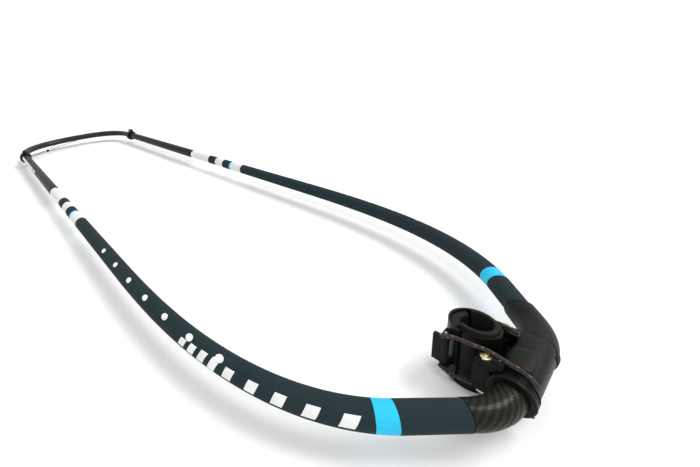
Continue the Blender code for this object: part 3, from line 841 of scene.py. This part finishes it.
# ---------------------------------------------------------------- studio

def make_camera():
    """The camera that the boom is first seen from."""
    cam = bpy.data.cameras.new("photo_camera")
    cam.lens, cam.sensor_width = 17.48, 36
    cam.shift_x, cam.shift_y = 0.2013, -0.1269
    cam.clip_start = 0.01
    obj = linked("photo_camera", cam)
    azimuth, elevation, roll = math.radians(145.77), math.radians(13.81), math.radians(-5.52)
    look = Vector((math.cos(elevation) * math.cos(azimuth), math.cos(elevation) * math.sin(azimuth),
                   -math.sin(elevation)))
    right = look.cross(Vector((0, 0, 1))).normalized()
    up = right.cross(look)
    x = right * math.cos(roll) + up * math.sin(roll)
    y = up * math.cos(roll) - right * math.sin(roll)
    turn = Matrix((x, y, -look)).transposed().to_4x4()
    obj.matrix_world = Matrix.Translation((1.06847, -0.4365, 0.4121)) @ turn
    bpy.context.scene.camera = obj


def area_light(name, place, target, size, power):
    """A round soft light aimed at a point."""
    light = bpy.data.lights.new(name, "AREA")
    light.shape, light.size, light.energy = "DISK", size, power
    obj = linked(name, light)
    obj.location = place
    obj.rotation_euler = (Vector(target) - Vector(place)).to_track_quat("-Z", "Y").to_euler()
    return obj


def make_studio():
    """White floor, soft light from the far side and a white sky."""
    floor = finish_mesh("studio_floor", [(-40, -40, 0), (40, -40, 0), (40, 40, 0), (-40, 40, 0)],
                        [(0, 1, 2, 3)], [studio_floor("studio_white")])
    sun = bpy.data.lights.new("key", "SUN")
    sun.energy, sun.angle = 1.7, math.radians(24)
    key = linked("key", sun)
    key.rotation_euler = Vector((-0.45, -0.62, -1.0)).to_track_quat("-Z", "Y").to_euler()
    fill = area_light("fill", (1.9, -1.2, 2.4), (0.8, 0, 0), 1.0, 14)
    world = bpy.data.worlds.new("studio")
    world.use_nodes = True
    world.node_tree.nodes["Background"].inputs["Color"].default_value = (1, 1, 1, 1)
    tree = world.node_tree
    path = tree.nodes.new("ShaderNodeLightPath")
    strength = tree.nodes.new("ShaderNodeMapRange")
    strength.inputs["To Min"].default_value = 0.80
    strength.inputs["To Max"].default_value = 1.05
    tree.links.new(path.outputs["Is Camera Ray"], strength.inputs["Value"])
    tree.links.new(strength.outputs["Result"], tree.nodes["Background"].inputs["Strength"])
    bpy.context.scene.world = world
    bpy.context.scene.view_settings.view_transform = "Standard"


def make_materials():
    """Every material, by the name that the pieces ask for."""
    return {
        "carbon": woven_carbon("carbon_twill", 0.06),
        "carbon_gloss": woven_carbon("carbon_tail_gloss", 0.35),
        "grip": foam("grip_slate", (0.012, 0.025, 0.029)),
        "cyan": foam("grip_cyan", (0.02, 0.50, 0.78), 0.6),
        "white_foam": foam("grip_white", (0.72, 0.73, 0.72), 0.6),
        "print": moulded("print_white", (0.78, 0.79, 0.79), 0.5),
        "dark_print": moulded("print_dark", (0.03, 0.03, 0.03), 0.5),
        "plastic": moulded("black_moulding", (0.0035, 0.0038, 0.0028), 0.40),
        "cover": moulded("cover_moulding", (0.0055, 0.0060, 0.0042), 0.50, 600.0, 0.0001),
        "rubber": moulded("liner_rubber", (0.011, 0.013, 0.011), 0.72, 700.0, 0.00012),
        "brass": metal("bolt_brass", (0.83, 0.76, 0.45), 0.28),
        "steel": metal("pin_steel_fine", (0.60, 0.60, 0.58), 0.30),
        "rope": braid("rope_black_red", (0.013, 0.013, 0.013), (0.36, 0.03, 0.02), 0.045),
        "line": moulded("line_black", (0.016, 0.016, 0.016), 0.8, 1600.0, 0.0002),
    }


mats = make_materials()
make_camera()
make_tail_lines(mats)
make_lashing(mats)
make_grips(mats)
make_tubes(mats)
make_tail(mats)
make_head(mats)
make_far_hood(mats)
make_saddle(mats)
make_studio()
